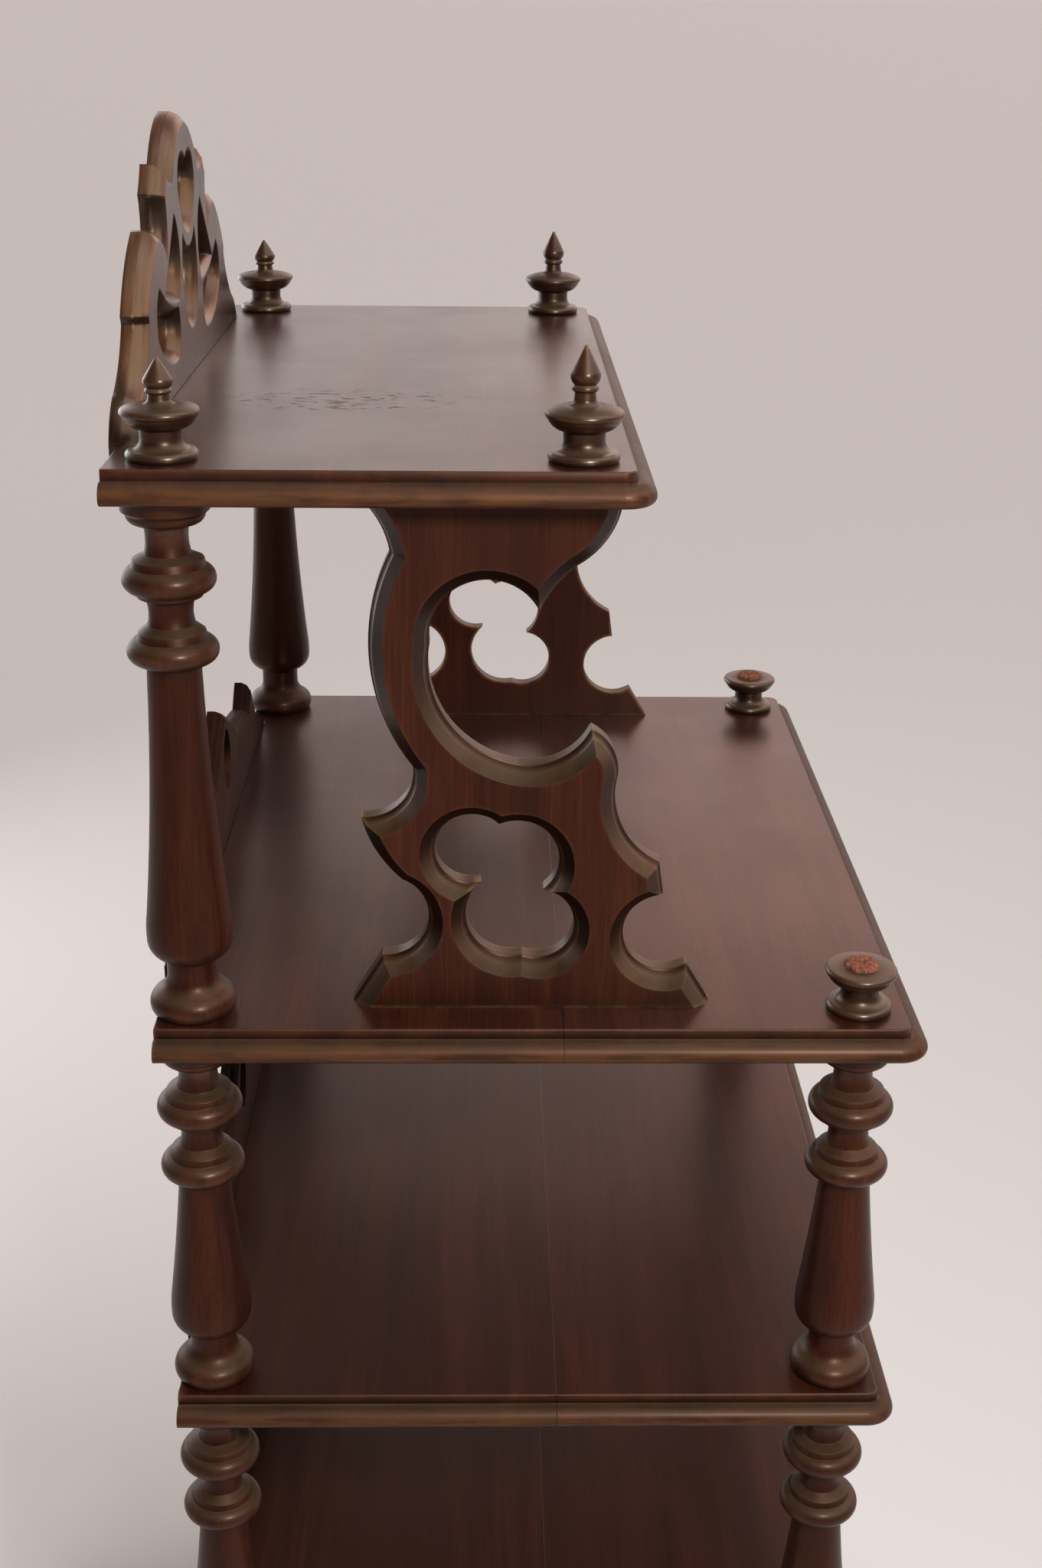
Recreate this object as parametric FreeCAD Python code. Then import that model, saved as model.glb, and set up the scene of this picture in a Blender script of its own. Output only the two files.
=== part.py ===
import FreeCAD, Part
import math
import os

# A Victorian walnut etagere: a narrow top shelf on fretwork brackets and two turned posts,
# above four deeper shelves on turned corner posts, with a pierced crest and low back galleries.
# Millimetres. +Z is up, the front faces -Y, and the origin is the middle of the footprint on the floor.

# Whole frame
post_spacing_x = 532.0
post_spacing_y = 393.0
top_spacing_y = 223.0
long_post_length = 309.0
short_post_length = 242.0
foot_height = 95.0
deep_shelf_count = 4

# Shelves, with a moulded edge on the sides and the front
shelf_thickness = 18.0
shelf_overhang = 38.0
deep_back_overhang = 20.0
top_back_overhang = 28.3
shelf_corner_radius = 18.0
back_board_reach = 217.0
edge_moulding_width = 12.0
# A rolled nose and a step above it, from the underside up: an end point and, for an arc, a point on its way.
# Points are an inset, as a share of the moulding's width, and a height, as a share of the thickness.
edge_profile_shares = [
    ((0.33, 0.0), None),
    ((0.0, 0.28), (0.11, 0.075)),
    ((0.86, 0.66), (0.3, 0.61)),
    ((0.9, 0.97), (0.85, 0.8)),
    ((0.96, 1.0), None),
]

# Joints: round tenons on the turned pieces, flat stub tenons on the brackets,
# and rebates in the back edges of the shelves for the crest and the galleries
tenon_radius = 8.0
socket_depth = 22.0
blind_tenon_length = 12.0
stub_tenon_length = 36.0
stub_tenon_depth = 9.0
stub_tenon_thickness = 7.0
back_rebate_width = 9.5
back_rebate_depth = 9.0
fit_clearance = 0.2
end_gap = 1.0
overrun = 2.0

# Turned pieces: profiles are lists of the same kind, whose points are a radius and a height.
# Post radii are shares of the ring's radius.
ring_radius = 25.6
post_head_length = 99.0
post_base_length = 55.0
# Heights above the shelf, as shares of the base's length: ring, hollow, neck and the bowl under the shaft.
post_base_shares = [
    ((0.9, 0.0), None),
    ((0.82, 0.25), (0.985, 0.115)),
    ((0.77, 0.265), None),
    ((0.56, 0.44), (0.61, 0.345)),
    ((0.56, 0.61), None),
    ((0.6, 0.635), None),
    ((0.968, 0.86), (0.87, 0.72)),
    ((0.935, 1.15), (0.968, 1.0)),
]
shaft_hollow_radius = 1700.0
# Depths below the shelf that the post carries, as shares of the head's length: two rings, their necks and a collar.
post_head_shares = [
    ((0.59, 0.975), None),
    ((0.72, 0.955), None),
    ((0.76, 0.815), (0.99, 0.885)),
    ((0.72, 0.775), None),
    ((0.52, 0.735), None),
    ((0.52, 0.595), (0.475, 0.665)),
    ((0.7, 0.575), None),
    ((0.74, 0.55), None),
    ((0.8, 0.405), (1.0, 0.475)),
    ((0.76, 0.365), None),
    ((0.505, 0.335), None),
    ((0.48, 0.18), (0.455, 0.25)),
    ((0.62, 0.165), None),
    ((0.84, 0.112), (0.79, 0.147)),
    ((0.94, 0.09), None),
    ((0.96, 0.0), None),
]

# Turned finials, and the two caps whose spires broke off; radii are shares of the disc's radius.
finial_disc_radius = 21.5
finial_base_height = 27.3
front_spire_height = 33.5
back_spire_height = 25.5
finial_base_shares = [
    ((0.85, 0.0), None),
    ((0.82, 0.19), (0.9, 0.095)),
    ((0.7, 0.205), None),
    ((0.52, 0.425), (0.56, 0.3)),
    ((0.53, 0.585), None),
    ((0.58, 0.6), None),
    ((0.93, 0.84), (0.79, 0.685)),
    ((0.9, 1.0), (0.985, 0.92)),
]
finial_spire_shares = [
    ((0.5, 0.07), (0.71, 0.045)),
    ((0.28, 0.15), (0.33, 0.095)),
    ((0.26, 0.28), None),
    ((0.27, 0.385), (0.335, 0.33)),
    ((0.36, 0.575), (0.367, 0.485)),
    ((0.03, 1.0), (0.22, 0.765)),
]
# The torn stub of a broken spire, in shares of the base's height.
cap_stub_shares = [((0.45, 1.02), None), ((0.4, 1.08), None)]

# Turned feet; radii are shares of the foot's radius and heights of its height.
foot_radius = 25.0
foot_shares = [
    ((0.52, 0.0), None),
    ((0.5, 0.1), (0.62, 0.05)),
    ((0.42, 0.13), None),
    ((1.0, 0.66), (0.8, 0.4)),
    ((0.62, 0.82), (0.93, 0.76)),
    ((0.62, 0.85), None),
    ((0.8, 0.87), None),
    ((0.84, 0.98), (0.97, 0.925)),
    ((0.84, 1.0), None),
]

# Fretwork boards: the cove runs round the front of every edge except the seats.
# Each pair is the inset, as a share of the cove's width, and the depth, as a share of the cove's depth.
cove_profile_shares = [(0.0, 1.0), (0.3, 0.42), (1.0, 0.0)]
# Two stretches of an outline join smoothly when the cosine of the turn between them is over this share.
smooth_corner_share = 0.85

# Side brackets between the second shelf and the top shelf
bracket_foot_length = 212.0
bracket_thickness = 22.0
bracket_setback = 93.0
bracket_outset = 1.0
bracket_cove_width = 8.5
bracket_cove_depth = 12.0
# Outlines are lists of the same kind; these shares are of the foot's length, from the back, and of the height.
bracket_outline_shares = [
    ((1.0, 0.0), None),
    ((0.932, 0.078), None),
    ((0.86, 0.224), (0.755, 0.163)),
    ((0.846, 0.29), None),
    ((0.726, 0.466), (0.735, 0.372)),
    ((0.651, 0.556), (0.704, 0.524)),
    ((0.458, 0.486), (0.573, 0.499)),
    ((0.222, 0.718), (0.283, 0.556)),
    ((0.509, 0.778), (0.373, 0.836)),
    ((0.608, 0.864), (0.555, 0.829)),
    ((0.722, 1.0), (0.695, 0.926)),
    ((0.014, 1.0), None),
    ((0.121, 0.888), (0.088, 0.948)),
    ((0.175, 0.48), (0.061, 0.715)),
    ((0.033, 0.38), (0.144, 0.411)),
    ((0.137, 0.256), (0.071, 0.313)),
    ((0.085, 0.095), (0.212, 0.163)),
    ((0.0, 0.0), None),
]
bracket_hole_shares = [
    ((0.406, 0.366), (0.562, 0.327)),
    ((0.358, 0.249), (0.231, 0.314)),
    ((0.472, 0.096), (0.327, 0.146)),
    ((0.528, 0.233), (0.616, 0.163)),
]
bracket_foot_tenon_shares = [0.2, 0.82]
bracket_head_tenon_shares = [0.2, 0.45]

# Pierced crest between the back finials; the shares are of its half length and of its height.
crest_end_clearance = 9.5
crest_height = 160.0
crest_thickness = 15.0
crest_cove_width = 6.0
crest_cove_depth = 8.0
crest_half_outline_shares = [
    ((1.0, 0.0), None),
    ((0.915, 0.14), (0.965, 0.085)),
    ((0.742, 0.345), (0.82, 0.215)),
    ((0.752, 0.375), None),
    ((0.535, 0.628), (0.655, 0.525)),
    ((0.395, 0.565), (0.465, 0.62)),
    ((0.405, 0.74), (0.388, 0.655)),
    ((0.342, 0.84), (0.362, 0.8)),
    ((0.252, 0.795), (0.3, 0.81)),
    ((0.0, 1.0), (0.155, 0.925)),
]
crest_heart_shares = [
    ((0.0, 0.58), (-0.085, 0.635)),
    ((0.128, 0.735), (0.085, 0.635)),
    ((0.0, 0.76), (0.072, 0.825)),
    ((-0.128, 0.735), (-0.072, 0.825)),
]
crest_shield_shares = [
    ((0.1, 0.5), (0.055, 0.468)),
    ((0.095, 0.3), (0.112, 0.4)),
    ((-0.095, 0.3), (0.0, 0.21)),
    ((-0.1, 0.5), (-0.112, 0.4)),
    ((0.0, 0.455), (-0.055, 0.468)),
]
crest_side_hole_shares = [
    [((0.405, 0.395), (0.325, 0.5)), ((0.225, 0.36), (0.31, 0.37)), ((0.243, 0.606), (0.198, 0.48))],
    [((0.255, 0.268), (0.39, 0.305)), ((0.285, 0.15), (0.252, 0.205)),
     ((0.57, 0.27), (0.45, 0.18)), ((0.54, 0.39), (0.572, 0.335))],
]

# Low galleries between the back posts; the shares are of the half length and of the height.
gallery_end_clearance = 12.4
gallery_height = 90.0
gallery_thickness = 12.5
gallery_cove_width = 5.0
gallery_cove_depth = 7.0
gallery_half_outline_shares = [
    ((1.0, 0.0), None),
    ((1.0, 0.08), None),
    ((0.72, 0.5), (0.84, 0.22)),
    ((0.658, 0.667), None),
    ((0.575, 0.5), (0.6, 0.555)),
    ((0.255, 0.655), None),
    ((0.0, 1.0), (0.105, 0.875)),
]
gallery_drop_shares = [((0.0, 0.4), (-0.055, 0.62)), ((0.0, 0.8), (0.055, 0.62))]

# Places worked out from the sizes above
crest_back_reach = top_back_overhang + max(0, crest_thickness - back_rebate_width)
gallery_back_reach = deep_back_overhang + max(0, gallery_thickness - back_rebate_width)
back_reach = max(ring_radius, crest_back_reach, gallery_back_reach)
total_depth = shelf_overhang + post_spacing_y + back_reach
back_y = total_depth / 2 - back_reach
front_y = back_y - post_spacing_y
top_front_y = back_y - top_spacing_y
deep_back_y = back_y + deep_back_overhang
top_back_y = back_y + top_back_overhang
shelf_joint_y = back_y - back_board_reach
post_x = post_spacing_x / 2
shelf_half_width = post_x + shelf_overhang
tier_height = short_post_length + shelf_thickness
second_shelf_top = foot_height + (deep_shelf_count - 1) * tier_height + shelf_thickness
top_underside = second_shelf_top + long_post_length
top_shelf_top = top_underside + shelf_thickness
bracket_outer_x = post_x + bracket_outset
bracket_middle_x = bracket_outer_x - bracket_thickness / 2
bracket_back_y = back_y - bracket_setback
crest_length = post_spacing_x - 2 * (finial_disc_radius + crest_end_clearance)
crest_front_y = top_back_y - back_rebate_width
gallery_length = post_spacing_x - 2 * (ring_radius + gallery_end_clearance)
gallery_front_y = deep_back_y - back_rebate_width
through_tenon_length = shelf_thickness + socket_depth - end_gap

sides = [("left", -1), ("right", 1)]
ends = [("front", front_y), ("back", back_y)]


def upright(x, y, z):
    return FreeCAD.Vector(x, y, z)


def round_peg(radius, length, x, y, z):
    return Part.makeCylinder(radius, length, upright(x, y, z))


def block(size_x, size_y, size_z, middle_x, middle_y, z):
    corner = upright(middle_x - size_x / 2, middle_y - size_y / 2, z)
    return Part.makeBox(size_x, size_y, size_z, corner)


def save(shape, node):
    """Write one piece as a STEP file."""
    shape.removeSplitter().exportStep("parts/" + node + ".step")


def stretch_edge(start, via, end):
    """A straight edge, or an arc when there is a point that it passes through."""
    if via is None:
        return Part.LineSegment(start, end).toShape()
    return Part.Arc(start, via, end).toShape()


def section_face(profile, inner):
    """A face in the XZ plane between a profile of (x, z) stretches, lowest first, and an upright at the inner x."""
    bottom = upright(inner, 0, profile[0][0][1])
    top = upright(inner, 0, profile[-1][0][1])
    edges = []
    start = bottom
    for point, via in profile:
        end = upright(point[0], 0, point[1])
        edges.append(stretch_edge(start, via and upright(via[0], 0, via[1]), end))
        start = end
    edges += [stretch_edge(start, None, top), stretch_edge(top, None, bottom)]
    return Part.Face(Part.Wire(edges))


def turned(profile):
    """A solid turned about Z from (radius, height) stretches, lowest first."""
    return section_face(profile, 0).revolve(upright(0, 0, 0), upright(0, 0, 1), 360)


def scaled_profile(shares, radius, length, base, direction):
    """A profile at its real size; heights count from the base, up or down."""
    def at_size(point):
        return point and (point[0] * radius, base + direction * point[1] * length)
    return [(at_size(point), at_size(via)) for point, via in shares]


def with_tenon(body, length):
    """Add a round tenon below a turned piece that stands on z = 0."""
    return body.fuse(round_peg(tenon_radius, length, 0, 0, -length))


def with_socket(body, top):
    """Bore the socket for the next tenon into the top of a turned piece."""
    bore = round_peg(tenon_radius + fit_clearance, socket_depth + overrun, 0, 0, top - socket_depth)
    return body.cut(bore)


def turned_post(length):
    """A post with two rings at its head, a tapered shaft with hollow sides and a ring at its base."""
    base = scaled_profile(post_base_shares, ring_radius, post_base_length, 0, 1)
    head = scaled_profile(post_head_shares, ring_radius, post_head_length, length, -1)
    shaft_foot = base[-1][0]
    shaft_top = head[0][0]
    hollow = (shaft_top[1] - shaft_foot[1]) ** 2 / (8 * shaft_hollow_radius)
    via = ((shaft_foot[0] + shaft_top[0]) / 2 - hollow, (shaft_foot[1] + shaft_top[1]) / 2)
    profile = base + [(shaft_top, via)] + head[1:]
    return with_socket(with_tenon(turned(profile), through_tenon_length), length)


def finial_profile(shares):
    return scaled_profile(shares, finial_disc_radius, finial_base_height, 0, 1)


def finial(spire_height, tenon_length):
    """A disc on a hollow base, with a spire."""
    spire = scaled_profile(finial_spire_shares, finial_disc_radius, spire_height, finial_base_height, 1)
    return with_tenon(turned(finial_profile(finial_base_shares) + spire), tenon_length)


def broken_cap():
    """The base of a finial, with the torn stub of its spire."""
    return with_tenon(turned(finial_profile(finial_base_shares + cap_stub_shares)), through_tenon_length)


def turned_foot():
    body = turned(scaled_profile(foot_shares, foot_radius, foot_height, 0, 1))
    return with_socket(body, foot_height)


def placed(shape, x, y, z):
    return shape.translated(upright(x, y, z))


def edge_strips(y_back, y_front, corner_radius):
    """The moulded strips of a board on z = 0: both sides and, with rounded corners, the front."""
    profile = scaled_profile(edge_profile_shares, edge_moulding_width, shelf_thickness, 0, 1)
    section = placed(section_face(profile, edge_moulding_width), -shelf_half_width, y_back, 0)
    side_length = y_back - y_front - corner_radius
    left = section.extrude(upright(0, -side_length, 0))
    strips = [left]
    if corner_radius:
        centre = upright(corner_radius - shelf_half_width, y_front + corner_radius, 0)
        section = placed(section, 0, -side_length, 0)
        strips.append(section.revolve(centre, upright(0, 0, 1), 90))
    strips += [strip.mirror(upright(0, 0, 0), upright(1, 0, 0)) for strip in strips]
    if corner_radius:
        turned_section = section.rotated(centre, upright(0, 0, 1), 90)
        strips.append(turned_section.extrude(upright(-2 * centre.x, 0, 0)))
    return strips


def board_core(y_back, y_front, corner_radius):
    """The plain middle of a board on z = 0, inside its moulded strips."""
    half = shelf_half_width - edge_moulding_width
    front = y_front + edge_moulding_width if corner_radius else y_front
    core = block(2 * half, y_back - front, shelf_thickness, 0, (y_back + front) / 2, 0)
    if not corner_radius:
        return core
    corners = [edge for edge in core.Edges
               if edge.BoundBox.ZLength > edge.BoundBox.DiagonalLength / 2 and edge.BoundBox.YMax < y_back]
    return core.makeFillet(corner_radius - edge_moulding_width, corners)


def moulded_board(y_back, y_front, corner_radius, underside):
    """A board with a moulded edge: a rounded front where there is a corner radius, else a square one."""
    strips = edge_strips(y_back, y_front, corner_radius)
    board = board_core(y_back, y_front, corner_radius).fuse(strips)
    return placed(board.removeSplitter(), 0, 0, underside)


def through_hole(x, y, underside):
    radius = tenon_radius + fit_clearance
    return round_peg(radius, shelf_thickness + 2 * overrun, x, y, underside - overrun)


def stub_tenon(middle_x, middle_y, seat, direction, clearance):
    """A flat tenon below or above a seat, or the mortise for it when there is a clearance."""
    size_x = stub_tenon_thickness + 2 * clearance
    size_y = stub_tenon_length + 2 * clearance
    depth = stub_tenon_depth + clearance
    reach = overrun if clearance else 0
    bottom = seat - depth if direction < 0 else seat - reach
    return block(size_x, size_y, depth + reach, middle_x, middle_y, bottom)


def bracket_tenon_y(share):
    return bracket_back_y - bracket_foot_length * share


def bracket_tenons(side, clearance):
    """Foot and head tenons of one bracket, or their mortises."""
    x = side * bracket_middle_x
    feet = []
    for share in bracket_foot_tenon_shares:
        feet.append(stub_tenon(x, bracket_tenon_y(share), second_shelf_top, -1, clearance))
    heads = []
    for share in bracket_head_tenon_shares:
        heads.append(stub_tenon(x, bracket_tenon_y(share), top_underside, 1, clearance))
    return feet, heads


def lapped_foot(length, thickness, face_y, seat):
    """The foot of a crest or gallery, which goes down into the rebate of its shelf."""
    return block(length, thickness, back_rebate_depth, 0, face_y + thickness / 2, seat - back_rebate_depth)


def back_rebate(length, face_y, seat):
    """What a shelf loses at its back edge for a crest or gallery."""
    size_x = length + 2 * fit_clearance
    size_y = back_rebate_width + fit_clearance + overrun
    middle_y = face_y - fit_clearance + size_y / 2
    return block(size_x, size_y, back_rebate_depth + overrun, 0, middle_y, seat - back_rebate_depth)


def circle_through(start, via, end):
    """Centre of the circle through three points, given as complex numbers."""
    a = via - start
    b = end - start
    turn = (a.conjugate() * b).imag
    return start + 1j * (a * abs(b) ** 2 - b * abs(a) ** 2) / (2 * turn)


def scaled_outline(shares, size_u, size_v):
    """Stretches (start, via, end, is_seat) of a closed outline, as complex numbers."""
    points = [(complex(end[0] * size_u, end[1] * size_v),
               via and complex(via[0] * size_u, via[1] * size_v)) for end, via in shares]
    stretches = []
    for index, (end, via) in enumerate(points):
        start = points[index - 1][0]
        level = start.imag == end.imag and via is None
        stretches.append((start, via, end, level))
    return stretches


def signed_area(stretches):
    total = 0
    for start, via, end, seat in stretches:
        middle = via if via is not None else end
        total += (start.conjugate() * middle).imag + (middle.conjugate() * end).imag
    return total / 2


def crossing_points(first, second):
    """Points shared by two lines or circles, each given as (point, direction) or (centre, radius)."""
    if isinstance(first[1], complex) and isinstance(second[1], complex):
        point, direction = first
        other, other_direction = second
        across = other_direction.conjugate()
        share = ((other - point) * across).imag / (direction * across).imag
        return [point + share * direction]
    if isinstance(first[1], complex):
        point, direction = first
        centre, radius = second
        foot = point + ((centre - point) * direction.conjugate()).real * direction
        half = math.sqrt(max(radius ** 2 - abs(centre - foot) ** 2, 0))
        return [foot + half * direction, foot - half * direction]
    if isinstance(second[1], complex):
        return crossing_points(second, first)
    gap = second[0] - first[0]
    along = (abs(gap) ** 2 + first[1] ** 2 - second[1] ** 2) / (2 * abs(gap))
    aside = math.sqrt(max(first[1] ** 2 - along ** 2, 0))
    unit = gap / abs(gap)
    return [first[0] + unit * complex(along, aside), first[0] + unit * complex(along, -aside)]


def turn_of(stretch):
    """1 for an arc that turns to the left, -1 for one that turns to the right."""
    start, via, end, seat = stretch
    return math.copysign(1, ((via - start).conjugate() * (end - via)).imag)


def heading(stretch, point):
    """Unit direction of a stretch at one of its ends."""
    start, via, end, seat = stretch
    if via is None:
        return (end - start) / abs(end - start)
    spoke = point - circle_through(start, via, end)
    return turn_of(stretch) * 1j * spoke / abs(spoke)


def moved_curve(stretch, distance):
    """The line (point, direction) or circle (centre, radius) of a stretch moved to its left."""
    start, via, end, seat = stretch
    if via is None:
        return start + 1j * heading(stretch, start) * distance, heading(stretch, start)
    centre = circle_through(start, via, end)
    return centre, abs(start - centre) - turn_of(stretch) * distance


def moved_corner(stretch, after, curve, next_curve, distance):
    """Where two neighbouring stretches meet once they have moved."""
    corner = stretch[2]
    before_heading = heading(stretch, corner)
    after_heading = heading(after, corner)
    if (before_heading.conjugate() * after_heading).real > smooth_corner_share:
        mean = before_heading + after_heading
        return corner + 1j * mean / abs(mean) * distance
    return min(crossing_points(curve, next_curve), key=lambda point: abs(point - corner))


def drawn_in(stretches, inset, side):
    """The outline moved into the wood by the inset; seats stay where they are."""
    curves = [moved_curve(stretch, 0 if stretch[3] else inset * side) for stretch in stretches]
    corners = []
    for index, stretch in enumerate(stretches):
        after = (index + 1) % len(stretches)
        corners.append(moved_corner(stretch, stretches[after], curves[index], curves[after], inset * side))
    moved = []
    for index, (start, via, end, seat) in enumerate(stretches):
        new_via = None
        if via is not None:
            centre, radius = curves[index]
            across = 1j * (corners[index] - corners[index - 1])
            outward = math.copysign(1, ((via - centre).conjugate() * across).real)
            new_via = centre + radius * outward * across / abs(across)
        moved.append((corners[index - 1], new_via, corners[index], seat))
    return moved


def outline_wire(stretches, z):
    edges = []
    for start, via, end, seat in stretches:
        first = upright(start.real, start.imag, z)
        last = upright(end.real, end.imag, z)
        middle = None if via is None else upright(via.real, via.imag, z)
        edges.append(stretch_edge(first, middle, last))
    return Part.Wire(edges)


def coved_prism(stretches, thickness, width, depth, side, past):
    """A prism of the outline, coved round its upper face; past is how far a cutter runs beyond it."""
    wires = [outline_wire(stretches, -past)]
    for inset_share, depth_share in cove_profile_shares:
        layer = drawn_in(stretches, width * inset_share, side)
        wires.append(outline_wire(layer, thickness - depth * depth_share))
    solid = Part.makeLoft(wires, True, True)
    if past:
        face = Part.Face(wires[-1])
        solid = solid.fuse(face.extrude(upright(0, 0, past)))
    return solid


def fretwork(outline, holes, thickness, width, depth):
    """A pierced board lying flat, with its coved face up."""
    side = math.copysign(1, signed_area(outline))
    board = coved_prism(outline, thickness, width, depth, side, 0)
    for hole in holes:
        side = -math.copysign(1, signed_area(hole))
        board = board.cut(coved_prism(hole, thickness, width, depth, side, overrun))
    return board


def stood_up(board):
    """Turn a flat board so that its height is along Z and its coved face is toward -Y."""
    return board.rotated(upright(0, 0, 0), upright(1, 0, 0), 90)


def mirrored(point):
    return point and (-point[0], point[1])


def whole_outline(half):
    """Both halves of an outline that is the same left and right."""
    other = []
    for index in range(len(half) - 1, 0, -1):
        other.append((mirrored(half[index - 1][0]), mirrored(half[index][1])))
    return half + other


def side_bracket(side):
    holes = [scaled_outline(bracket_hole_shares, bracket_foot_length, long_post_length)]
    outline = scaled_outline(bracket_outline_shares, bracket_foot_length, long_post_length)
    board = fretwork(outline, holes, bracket_thickness, bracket_cove_width, bracket_cove_depth)
    board = stood_up(board).rotated(upright(0, 0, 0), upright(0, 0, 1), -90)
    board = placed(board, bracket_thickness - bracket_outer_x, bracket_back_y, second_shelf_top)
    if side > 0:
        board = board.mirror(upright(0, 0, 0), upright(1, 0, 0))
    feet, heads = bracket_tenons(side, 0)
    return board.fuse(feet + heads)


def pierced_crest():
    half = crest_length / 2
    shares = [crest_heart_shares, crest_shield_shares]
    for hole in crest_side_hole_shares:
        shares.append(hole)
        shares.append([(mirrored(end), mirrored(via)) for end, via in hole])
    holes = [scaled_outline(hole, half, crest_height) for hole in shares]
    outline = scaled_outline(whole_outline(crest_half_outline_shares), half, crest_height)
    board = fretwork(outline, holes, crest_thickness, crest_cove_width, crest_cove_depth)
    board = placed(stood_up(board), 0, crest_front_y + crest_thickness, top_shelf_top)
    return board.fuse(lapped_foot(crest_length, crest_thickness, crest_front_y, top_shelf_top))


def back_gallery(shelf_top):
    half = gallery_length / 2
    outline = scaled_outline(whole_outline(gallery_half_outline_shares), half, gallery_height)
    drop = scaled_outline(gallery_drop_shares, half, gallery_height)
    board = fretwork(outline, [drop], gallery_thickness, gallery_cove_width, gallery_cove_depth)
    board = placed(stood_up(board), 0, gallery_front_y + gallery_thickness, shelf_top)
    return board.fuse(lapped_foot(gallery_length, gallery_thickness, gallery_front_y, shelf_top))


def top_shelf():
    y_front = top_front_y - shelf_overhang
    board = moulded_board(top_back_y, y_front, shelf_corner_radius, top_underside)
    cuts = [back_rebate(crest_length, crest_front_y, top_shelf_top)]
    for name, side in sides:
        cuts.append(through_hole(side * post_x, back_y, top_underside))
        blind_radius = tenon_radius + fit_clearance
        blind_bottom = top_shelf_top - blind_tenon_length - end_gap
        blind_length = blind_tenon_length + end_gap + overrun
        cuts.append(round_peg(blind_radius, blind_length, side * post_x, top_front_y, blind_bottom))
        cuts += bracket_tenons(side, fit_clearance)[1]
    return board.cut(cuts)


def deep_shelf_board(is_front, underside, carries_brackets):
    """One of the two boards that are glued edge to edge to make a deep shelf."""
    if is_front:
        board = moulded_board(shelf_joint_y, front_y - shelf_overhang, shelf_corner_radius, underside)
        cuts = [through_hole(side * post_x, front_y, underside) for name, side in sides]
    else:
        board = moulded_board(deep_back_y, shelf_joint_y, 0, underside)
        cuts = [through_hole(side * post_x, back_y, underside) for name, side in sides]
        cuts.append(back_rebate(gallery_length, gallery_front_y, underside + shelf_thickness))
    if carries_brackets:
        for name, side in sides:
            cuts += bracket_tenons(side, fit_clearance)[0]
    return board.cut(cuts)


def build_deep_tiers():
    """The deep shelves from the floor up, each with its gallery and the posts or feet under it."""
    short_post = turned_post(short_post_length)
    foot = turned_foot()
    for step in range(deep_shelf_count):
        shelf = "shelf_" + str(deep_shelf_count + 1 - step)
        underside = foot_height + step * tier_height
        carries_brackets = step == deep_shelf_count - 1
        save(deep_shelf_board(True, underside, carries_brackets), shelf + "_front_board")
        save(deep_shelf_board(False, underside, carries_brackets), shelf + "_back_board")
        save(back_gallery(underside + shelf_thickness), shelf + "_gallery")
        for end, y in ends:
            for side_name, side in sides:
                corner = "_" + end + "_" + side_name
                if step == 0:
                    save(placed(foot, side * post_x, y, 0), "foot" + corner)
                else:
                    post = placed(short_post, side * post_x, y, underside - short_post_length)
                    save(post, "post_under_" + shelf + corner)


def build_top_tier():
    """The top shelf with what carries it and what stands on it."""
    save(top_shelf(), "top_shelf")
    save(pierced_crest(), "crest")
    for side_name, side in sides:
        x = side * post_x
        tall_post = turned_post(long_post_length)
        save(side_bracket(side), "side_bracket_" + side_name)
        save(placed(tall_post, x, back_y, second_shelf_top), "tall_back_post_" + side_name)
        back_finial = finial(back_spire_height, through_tenon_length)
        front_finial = finial(front_spire_height, blind_tenon_length)
        save(placed(back_finial, x, back_y, top_shelf_top), "finial_back_" + side_name)
        save(placed(front_finial, x, top_front_y, top_shelf_top), "finial_front_" + side_name)
        save(placed(broken_cap(), x, front_y, second_shelf_top), "broken_cap_" + side_name)


os.makedirs("parts", exist_ok=True)
build_deep_tiers()
build_top_tier()
print("second shelf top", second_shelf_top, "top shelf top", top_shelf_top)
print("total height", top_shelf_top + crest_height, "total depth", total_depth)
print("back and front post axes in y", back_y, front_y, "top front finials", top_front_y)
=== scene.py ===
# %% [markdown]
# # Dressing a walnut etagere
# The stand is a Victorian display piece: moulded shelves on turned posts, with fretwork brackets and a pierced
# crest. Its solids are already made to size, so this lesson gives them their wood, polish, dust and wear.
# We load the solids first, and read the box of any piece from them when it is needed. Nothing that we add may
# make the stand larger.

# %% Load the stand
import math
import random
import bpy
from mathutils import Matrix, Vector


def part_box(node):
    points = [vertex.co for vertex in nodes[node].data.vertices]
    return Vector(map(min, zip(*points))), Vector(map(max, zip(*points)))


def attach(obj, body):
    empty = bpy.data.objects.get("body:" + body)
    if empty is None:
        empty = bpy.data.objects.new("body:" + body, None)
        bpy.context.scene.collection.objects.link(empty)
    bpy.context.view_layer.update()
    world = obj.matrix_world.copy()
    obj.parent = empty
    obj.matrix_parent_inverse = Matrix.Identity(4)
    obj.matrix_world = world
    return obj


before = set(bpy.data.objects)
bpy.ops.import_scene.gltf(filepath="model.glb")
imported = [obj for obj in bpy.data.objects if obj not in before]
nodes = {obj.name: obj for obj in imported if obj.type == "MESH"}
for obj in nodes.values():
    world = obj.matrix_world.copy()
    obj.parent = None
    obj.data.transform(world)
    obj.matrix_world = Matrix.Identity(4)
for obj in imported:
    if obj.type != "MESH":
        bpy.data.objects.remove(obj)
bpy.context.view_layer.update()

# %% [markdown]
# ## The camera
# A camera can be placed by eye, but straight things such as shelf edges and posts tell exactly where it stood.
# Here it is at the height of a standing person's eyes, beside the stand, looking down at the left end. The
# focal length is kept in pixels of the picture's long side, because that is what the edges give, and turned
# into millimetres of a common 36 mm sensor.

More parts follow.
